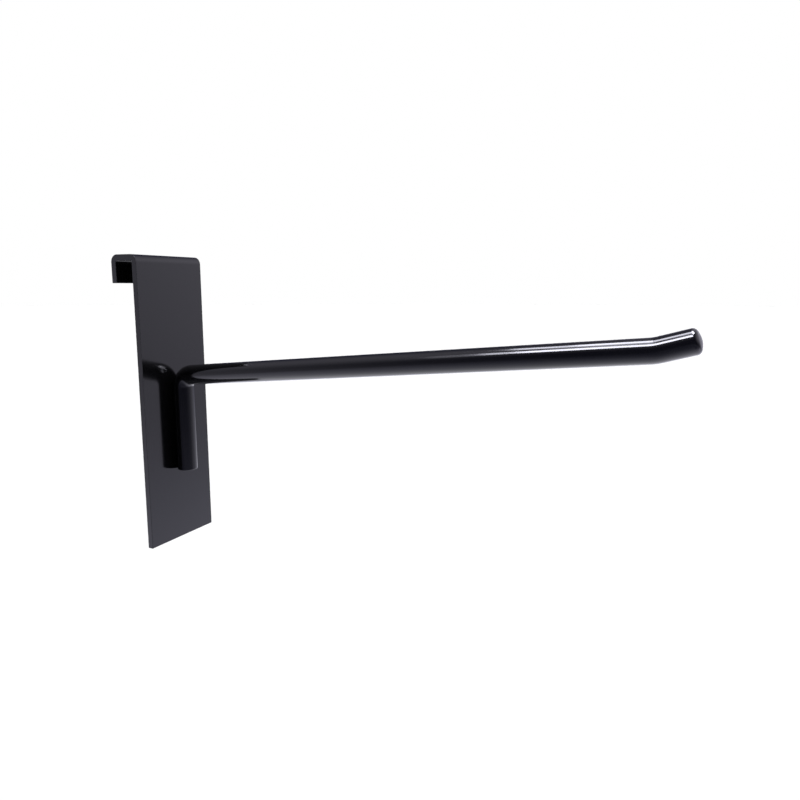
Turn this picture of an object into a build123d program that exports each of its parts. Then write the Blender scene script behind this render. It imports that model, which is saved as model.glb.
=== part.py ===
from build123d import *
from math import cos, radians, sin
import os

# A display hook for a wire grid panel, in millimetres.
# A strip of sheet steel is folded into a channel along its top, which hooks over a wire of the grid.
# A round rod is bent into a short stub and a long arm, and the stub is welded up the strip's front.
# The origin is the middle of the channel's ceiling, where the hook sits on the wire.
# X runs along the wire, -Y runs out along the arm, and +Z is up.

# The grid's wire, and the room that the channel leaves it
grid_wire_diameter = 6.35
wire_clearance = 0.25

# The back plate: one strip of sheet steel, folded twice along its top
sheet_thickness = 1.8
plate_width = 28.0
plate_height = 92.2
lip_height = 8.6
fold_inside_radius = 0.5
sheared_edge_rounding = 0.1

# The arm: one round rod, with each straight measured between the corners of its centreline
rod_diameter = 6.35
stub_foot_height = 23.5
stub_length = 30.9
run_length = 143.5
tip_length = 10.4
run_rise = 5.4
tip_rise = 10.7
corner_inside_radius = 0.8
tip_inside_radius = 9.0
foot_edge_rounding = 0.2

# The rod's outer end: a shallow dome, with its rim rounded into the rod's side
dome_height = 0.95
dome_rim_rounding = 1.4

# Where the strip's faces lie: Y is depth, Z is height
channel_width = grid_wire_diameter + wire_clearance
plate_back = -channel_width / 2
plate_front = plate_back - sheet_thickness
lip_back = channel_width / 2 + sheet_thickness
plate_top = sheet_thickness
plate_bottom = plate_top - plate_height
lip_bottom = plate_top - lip_height

# Where the rod's centreline starts: its side lies against the plate's front
rod_radius = rod_diameter / 2
stub_depth = plate_front - rod_radius
stub_foot = plate_bottom + stub_foot_height

# The dome is part of a ball, and the rod's last piece is just long enough for the dome and its rim
ball_radius = (rod_radius**2 + dome_height**2) / (2 * dome_height)
end_piece_length = dome_height + dome_rim_rounding


def strip_section():
    """Side view of the strip: one even thickness, with both folds round inside and out."""
    with BuildSketch(Plane.YZ) as section:
        with BuildLine():
            FilletPolyline(
                (plate_front, plate_bottom),
                (plate_front, plate_top),
                (lip_back, plate_top),
                (lip_back, lip_bottom),
                radius=fold_inside_radius + sheet_thickness,
            )
            offset(amount=sheet_thickness, side=Side.RIGHT)
        make_face()
    return section.sketch


def back_plate():
    """The folded strip, with its sheared edges slightly rounded by the coating."""
    plate = extrude(strip_section(), amount=plate_width / 2, both=True)
    cut_sides = plate.faces().filter_by(Axis.X)
    cut_ends = plate.faces().filter_by(Axis.Z).filter_by(lambda face: face.area < plate_width * channel_width / 2)
    sheared = cut_sides.edges() + cut_ends.edges().filter_by(Axis.X)
    return fillet(sheared, radius=sheared_edge_rounding)


def outward(length, rise):
    """A step out along the arm, climbing at the given angle above level."""
    return Vector(-length * cos(radians(rise)), length * sin(radians(rise)))


def rod_route():
    """The rod's centreline: up the stub, round the corner, out along the run and up the tip."""
    foot = Vector(stub_depth, stub_foot)
    corner = foot + Vector(0, stub_length)
    bend = corner + outward(run_length, run_rise)
    end = bend + outward(tip_length - end_piece_length, run_rise + tip_rise)
    bend_radii = (corner_inside_radius + rod_radius, tip_inside_radius + rod_radius)
    return Plane.YZ * FilletPolyline(foot, corner, bend, end, radius=bend_radii)


def end_piece():
    """The rod's last piece, standing on the XY plane: a round blank that a ball cuts to a dome."""
    blank = Cylinder(rod_radius, end_piece_length, align=(Align.CENTER, Align.CENTER, Align.MIN))
    ball = Pos(0, 0, end_piece_length - ball_radius) * Sphere(ball_radius)
    domed = blank & ball
    rim = domed.edges().filter_by(Plane.XY).sort_by(Axis.Z)[-1]
    return fillet(rim, radius=dome_rim_rounding)


def arm():
    """The bent rod, with the burr taken off its foot and its outer end domed."""
    route = rod_route()
    section = Plane(origin=route @ 0, z_dir=route % 0) * Circle(rod_radius)
    rod = sweep(section, path=route)
    rod = fillet(rod.faces().sort_by(Axis.Z)[0].edges(), radius=foot_edge_rounding)
    return rod + Plane(origin=route @ 1, z_dir=route % 1) * end_piece()


os.makedirs("parts", exist_ok=True)
export_step(back_plate(), "parts/back_plate.step")
export_step(arm(), "parts/arm.step")
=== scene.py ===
"""A display hook for a wire grid panel, in gloss black coated steel, in a pale studio.

Metres and degrees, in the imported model's frame: X runs along the wire, -Y out along the arm, +Z is up.
A direction is given as (azimuth, elevation): azimuth 0 is -Y, 90 is +X, and elevation is above the horizon.
"""
from math import cos, pi, radians, sin, sqrt, tan

import bpy
from mathutils import Matrix, Vector


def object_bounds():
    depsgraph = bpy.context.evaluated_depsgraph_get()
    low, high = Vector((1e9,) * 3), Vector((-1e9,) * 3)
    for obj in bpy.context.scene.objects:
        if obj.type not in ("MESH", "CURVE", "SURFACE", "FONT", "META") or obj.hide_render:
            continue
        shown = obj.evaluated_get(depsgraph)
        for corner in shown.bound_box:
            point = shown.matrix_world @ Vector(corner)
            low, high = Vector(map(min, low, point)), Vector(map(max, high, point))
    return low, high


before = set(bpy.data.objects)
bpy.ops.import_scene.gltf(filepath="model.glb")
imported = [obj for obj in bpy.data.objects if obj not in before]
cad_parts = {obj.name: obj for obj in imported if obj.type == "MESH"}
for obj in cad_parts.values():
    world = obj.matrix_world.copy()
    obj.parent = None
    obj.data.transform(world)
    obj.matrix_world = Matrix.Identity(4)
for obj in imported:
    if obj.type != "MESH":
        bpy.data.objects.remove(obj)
cad_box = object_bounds()
scene = bpy.context.scene

WHITE = (1, 1, 1, 1)

# The camera, fitted to the part's outlines in the photograph
CAMERA_PLACE = (-0.170864, -0.166302, -0.007876)
CAMERA_AZIMUTH = -64.719
CAMERA_ELEVATION = 9.254
CAMERA_ROLL = 0.057
CAMERA_LENS_MM = 31.2024
SENSOR_WIDTH_MM = 36.0
CAMERA_NEAREST = 0.01
CAMERA_FARTHEST = 100

# The stage: a pale floor well below the hook, which hangs from its wire in use
FLOOR_HEIGHT = -0.30
FLOOR_RADIUS = 12.0
FLOOR_SIDES = 64
FLOOR_COLOUR = (0.8, 0.8, 0.8)
FLOOR_GLOW = 0.3

# The plain light that falls on everything
AMBIENT_LEVEL = 0.4
KEY_DIRECTION = (52, 40)
KEY_ANGLE = 60
KEY_LEVEL = 0.8

# What gloss shows: a dim room over a bright table, which starts softly below the horizon
ROOM_COLOUR = (0.08, 0.08, 0.135)
HORIZON = -13.7
HORIZON_SOFTNESS = 7.8
TABLE_MOST = 2.2
# The table fades round its bright side: an angle from there, the level, and blue as a share of the level
TABLE_SIDE = (133, -41)
TABLE_FADE = (
    (0, 1.44, 1.12),
    (30, 1.88, 1.07),
    (60, 0.95, 1.15),
    (75, 0.58, 1.22),
    (90, 0.24, 1.30),
    (105, 0.08, 1.45),
    (120, 0.27, 1.30),
    (180, 0.02, 1.45),
)
# Wide soft panels: a direction, the angle at which each has faded away, and its level
PANELS = (
    ((54, 19), 64, 1.04),
    ((-146, 66), 59, 0.69),
    ((-168, -11), 68, 1.03),
    ((14, -51), 50, 0.80),
    ((1, 31), 48, 1.11),
    ((19, -29), 21, 0.73),
    ((72, 70), 27, 2.0),
)
PANEL_COLOUR = (1.03, 1.0, 1.14)

# Strip lamps along the arm, which show in gloss alone. The front and top ones draw the arm's two bright
# lines, with a faint glow between them and past their near end. The join and over ones carry the top one on
# outward, where the tip's rim and the rod's corner show it.
# Each has its angle round the arm from the camera's side, its angular width, its level and its two ends.
# An end is the part of the unit direction to it that points back along the arm, towards the plate.
STRIP_DISTANCE = 1.6
STRIPS = {
    "strip_front": dict(around=56.4, width=15.5, level=30, near_end=0.278, far_end=-0.08),
    "strip_front_end": dict(around=56.4, width=15.5, level=12, near_end=0.325, far_end=0.278),
    "strip_top": dict(around=91, width=17, level=15, near_end=0.28, far_end=0.19),
    "strip_top_far": dict(around=92.5, width=20, level=22, near_end=0.19, far_end=-0.10),
    "strip_between": dict(around=73, width=14, level=3.0, near_end=0.23, far_end=0.0),
    "strip_between_far": dict(around=73, width=14, level=2.5, near_end=0.165, far_end=0.0),
    "strip_join": dict(around=89.5, width=36, level=25, near_end=-0.02, far_end=-0.15),
    "strip_join_far": dict(around=91, width=22, level=55, near_end=-0.15, far_end=-0.28),
    "strip_over": dict(around=88, width=20, level=105, near_end=-0.28, far_end=-0.39),
    "strip_glow": dict(around=54, width=20, level=1.2, near_end=0.41, far_end=0.30),
}
STRIP_COLOUR = (0.88, 0.88, 1.0)
STRIP_MIDDLE = Vector((0.0, -0.11, -0.027))
ARM_RISE = 5.4

# The gloss black coat, with a little unevenness in its colour and gloss
COAT_COLOUR = (0.002, 0.002, 0.0024)
COAT_IOR = 1.5
PLATE_ROUGHNESS = 0.12
ARM_ROUGHNESS = 0.09
CLOUD_SCALE = 90
CLOUD_DETAIL = 4
CLOUD_RANGE = (0.3, 0.7)
COLOUR_SPREAD = 0.3
ROUGHNESS_SPREAD = 0.15

# The fine waviness of a sprayed surface
PEEL_SCALE = 900
PEEL_DETAIL = 2
PEEL_STRENGTH = 0.06
PEEL_DEPTH = 0.00001

# The plate's sheared edges, where the coat runs thin and dull: how far in from the side faces they lie
PLATE_SIDE = cad_box[1][0]
EDGE_BEGIN = (0.00012, 0.00008)
EDGE_END = (0.000005, 0.000001)
EDGE_ROUGHNESS = 0.85


def direction(azimuth, elevation):
    """The unit vector that points that way from the hook."""
    a, e = radians(azimuth), radians(elevation)
    return Vector((sin(a) * cos(e), -cos(a) * cos(e), sin(e)))


def add_object(name, data):
    """A new object in the scene."""
    made = bpy.data.objects.new(name, data)
    scene.collection.objects.link(made)
    return made


def node(tree, kind, inputs=None, **settings):
    """A new node of a tree, with its settings and the values or links of its inputs."""
    made = tree.nodes.new(kind)
    for name, value in settings.items():
        setattr(made, name, value)
    for name, value in (inputs or {}).items():
        if isinstance(value, bpy.types.NodeSocket):
            tree.links.new(value, made.inputs[name])
        else:
            made.inputs[name].default_value = value
    return made


def math_node(tree, operation, *values):
    """The result of one calculation on numbers or sockets."""
    return node(tree, "ShaderNodeMath", dict(enumerate(values)), operation=operation).outputs[0]


def background(tree, colour, strength):
    """The world's light from each direction, as a colour and a strength."""
    return node(tree, "ShaderNodeBackground", {"Color": colour, "Strength": strength}).outputs[0]


def add_light(tree, first, second):
    """The light of two shaders together."""
    return node(tree, "ShaderNodeAddShader", {0: first, 1: second}).outputs[0]


def make_camera():
    """The photograph's view of the hook."""
    data = bpy.data.cameras.new("camera")
    data.sensor_width = SENSOR_WIDTH_MM
    data.lens = CAMERA_LENS_MM
    data.clip_start = CAMERA_NEAREST
    data.clip_end = CAMERA_FARTHEST
    camera = add_object("camera", data)
    turn = Matrix.Rotation(radians(CAMERA_AZIMUTH), 4, "Z")
    tilt = Matrix.Rotation(radians(90 - CAMERA_ELEVATION), 4, "X")
    roll = Matrix.Rotation(radians(CAMERA_ROLL), 4, "Z")
    camera.matrix_world = Matrix.Translation(CAMERA_PLACE) @ turn @ tilt @ roll
    scene.camera = camera


def angle_from(tree, ray, middle):
    """The angle between a ray and a fixed direction, as a share of half a turn."""
    dot = node(tree, "ShaderNodeVectorMath", {0: ray, 1: direction(*middle)}, operation="DOT_PRODUCT")
    angle = math_node(tree, "ARCCOSINE", dot.outputs["Value"])
    return math_node(tree, "DIVIDE", angle, pi)


def make_table(tree, ray):
    """The bright table: its colour fades round its bright side, and its strength starts at the horizon."""
    fade = node(tree, "ShaderNodeValToRGB", {"Fac": angle_from(tree, ray, TABLE_SIDE)})
    stops = fade.color_ramp.elements
    while len(stops) < len(TABLE_FADE):
        stops.new(0.5)
    for stop, (angle, level, blue) in zip(stops, TABLE_FADE):
        stop.position = angle / 180
        stop.color = (level / TABLE_MOST, level / TABLE_MOST, level * blue / TABLE_MOST, 1)
    rise = node(tree, "ShaderNodeSeparateXYZ", {"Vector": ray}).outputs["Z"]
    below = node(
        tree, "ShaderNodeMapRange",
        {
            "Value": math_node(tree, "ARCSINE", rise),
            "From Min": radians(HORIZON + HORIZON_SOFTNESS), "From Max": radians(HORIZON - HORIZON_SOFTNESS),
            "To Min": 0, "To Max": TABLE_MOST,
        },
        interpolation_type="SMOOTHSTEP",
    )
    return background(tree, fade.outputs["Color"], below.outputs[0])


def make_panel(tree, ray, middle, width, level):
    """A soft panel, brightest in its middle and faded away at an angle from it."""
    soft = node(
        tree, "ShaderNodeMapRange",
        {
            "Value": angle_from(tree, ray, middle),
            "From Min": 0, "From Max": width / 180,
            "To Min": level, "To Max": 0,
        },
        interpolation_type="SMOOTHSTEP",
    )
    return background(tree, (*PANEL_COLOUR, 1), soft.outputs[0])


def make_world():
    """White to the camera, the studio to gloss, and a plain level of light to all else."""
    world = bpy.data.worlds.new("studio")
    world.use_nodes = True
    scene.world = world
    tree = world.node_tree
    tree.nodes.clear()
    ray = node(tree, "ShaderNodeTexCoord").outputs["Generated"]
    studio = add_light(tree, background(tree, (*ROOM_COLOUR, 1), 1.0), make_table(tree, ray))
    for middle, width, level in PANELS:
        studio = add_light(tree, studio, make_panel(tree, ray, middle, width, level))
    ambient = background(tree, WHITE, AMBIENT_LEVEL)
    white = background(tree, WHITE, 1.0)
    path = node(tree, "ShaderNodeLightPath").outputs
    seen = math_node(tree, "MAXIMUM", path["Is Glossy Ray"], path["Is Transmission Ray"])
    light = node(tree, "ShaderNodeMixShader", {0: seen, 1: ambient, 2: studio}).outputs[0]
    shown = node(tree, "ShaderNodeMixShader", {0: path["Is Camera Ray"], 1: light, 2: white}).outputs[0]
    node(tree, "ShaderNodeOutputWorld", {"Surface": shown})


def make_floor():
    """A wide round floor, lifted to white for the camera, which the gloss doesn't show."""
    angles = [2 * pi * i / FLOOR_SIDES for i in range(FLOOR_SIDES)]
    rim = [(FLOOR_RADIUS * cos(a), FLOOR_RADIUS * sin(a), FLOOR_HEIGHT) for a in angles]
    data = bpy.data.meshes.new("floor")
    data.from_pydata(rim, [], [range(FLOOR_SIDES)])
    floor = add_object("floor", data)
    material = bpy.data.materials.new("floor")
    material.use_nodes = True
    tree = material.node_tree
    tree.nodes.clear()
    pale = node(tree, "ShaderNodeBsdfDiffuse", {"Color": (*FLOOR_COLOUR, 1)}).outputs[0]
    path = node(tree, "ShaderNodeLightPath").outputs
    strength = math_node(tree, "MULTIPLY", path["Is Camera Ray"], FLOOR_GLOW)
    glow = node(tree, "ShaderNodeEmission", {"Color": WHITE, "Strength": strength}).outputs[0]
    node(tree, "ShaderNodeOutputMaterial", {"Surface": add_light(tree, pale, glow)})
    data.materials.append(material)
    floor.visible_glossy = False


def make_key():
    """One wide soft sun, which the gloss doesn't show."""
    data = bpy.data.lights.new("key", "SUN")
    data.angle = radians(KEY_ANGLE)
    data.energy = KEY_LEVEL * pi
    key = add_object("key", data)
    key.rotation_mode = "QUATERNION"
    key.rotation_quaternion = direction(*KEY_DIRECTION).to_track_quat("Z", "Y")
    key.visible_glossy = False


def make_strips():
    """The strip lamps, each set across from the arm's middle and facing it."""
    outward = Vector((0, -cos(radians(ARM_RISE)), sin(radians(ARM_RISE))))
    side = Vector((-1, 0, 0))
    up = side.cross(outward)
    for name, strip in STRIPS.items():
        middle = -(strip["near_end"] + strip["far_end"]) / 2
        a = radians(strip["around"])
        across = side * cos(a) + up * sin(a)
        towards = outward * middle + across * sqrt(1 - middle**2)
        data = bpy.data.lights.new(name, "AREA")
        data.shape = "RECTANGLE"
        data.size = STRIP_DISTANCE * (strip["near_end"] - strip["far_end"])
        data.size_y = 2 * STRIP_DISTANCE * tan(radians(strip["width"] / 2))
        data.color = STRIP_COLOUR
        data.energy = strip["level"] * pi * data.size * data.size_y
        lamp = add_object(name, data)
        along = (outward - towards * outward.dot(towards)).normalized()
        turn = Matrix((along, towards.cross(along), towards)).transposed().to_4x4()
        lamp.matrix_world = Matrix.Translation(STRIP_MIDDLE + towards * STRIP_DISTANCE) @ turn
        lamp.visible_diffuse = False
        lamp.visible_camera = False


def edge_share(tree, place):
    """1 on the plate's rounded sheared edges, next to its flat side faces, and 0 elsewhere."""
    x = node(tree, "ShaderNodeSeparateXYZ", {"Vector": place}).outputs["X"]
    off_middle = math_node(tree, "ABSOLUTE", x)
    begun, ended = (
        node(
            tree, "ShaderNodeMapRange",
            {"Value": off_middle, "From Min": PLATE_SIDE - first, "From Max": PLATE_SIDE - last},
        ).outputs[0]
        for first, last in (EDGE_BEGIN, EDGE_END)
    )
    return math_node(tree, "SUBTRACT", begun, ended)


def coat(name, roughness, dull_edges=False):
    """A gloss black coat: faint unevenness in its colour and gloss, and the fine waviness of a spray."""
    material = bpy.data.materials.new(name)
    material.use_nodes = True
    tree = material.node_tree
    tree.nodes.clear()
    place = node(tree, "ShaderNodeTexCoord").outputs["Object"]
    noise = node(tree, "ShaderNodeTexNoise", {"Vector": place, "Scale": CLOUD_SCALE, "Detail": CLOUD_DETAIL})
    cloud = noise.outputs["Fac"]
    darkest, lightest = (
        (*[share * c for c in COAT_COLOUR], 1) for share in (1 - COLOUR_SPREAD, 1 + COLOUR_SPREAD)
    )
    shade = node(tree, "ShaderNodeMix", {0: cloud, 6: darkest, 7: lightest}, data_type="RGBA")
    gloss = node(
        tree, "ShaderNodeMapRange",
        {
            "Value": cloud, "From Min": CLOUD_RANGE[0], "From Max": CLOUD_RANGE[1],
            "To Min": roughness * (1 - ROUGHNESS_SPREAD), "To Max": roughness * (1 + ROUGHNESS_SPREAD),
        },
    )
    if dull_edges:
        gloss = node(
            tree, "ShaderNodeMix",
            {0: edge_share(tree, place), 2: gloss.outputs[0], 3: EDGE_ROUGHNESS}, data_type="FLOAT",
        )
    peel = node(tree, "ShaderNodeTexNoise", {"Vector": place, "Scale": PEEL_SCALE, "Detail": PEEL_DETAIL})
    bump = node(
        tree, "ShaderNodeBump",
        {"Height": peel.outputs["Fac"], "Strength": PEEL_STRENGTH, "Distance": PEEL_DEPTH},
    )
    surface = node(
        tree, "ShaderNodeBsdfPrincipled",
        {
            "Base Color": shade.outputs[2], "Roughness": gloss.outputs[0],
            "IOR": COAT_IOR, "Normal": bump.outputs[0],
        },
    )
    node(tree, "ShaderNodeOutputMaterial", {"Surface": surface.outputs[0]})
    return material


scene.view_settings.view_transform = "Standard"
make_camera()
make_world()
make_floor()
make_key()
make_strips()

finishes = {
    "back_plate": coat("plate_coat", PLATE_ROUGHNESS, dull_edges=True),
    "arm": coat("arm_coat", ARM_ROUGHNESS),
}
for name, finish in finishes.items():
    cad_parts[name].material_slots[0].material = finish
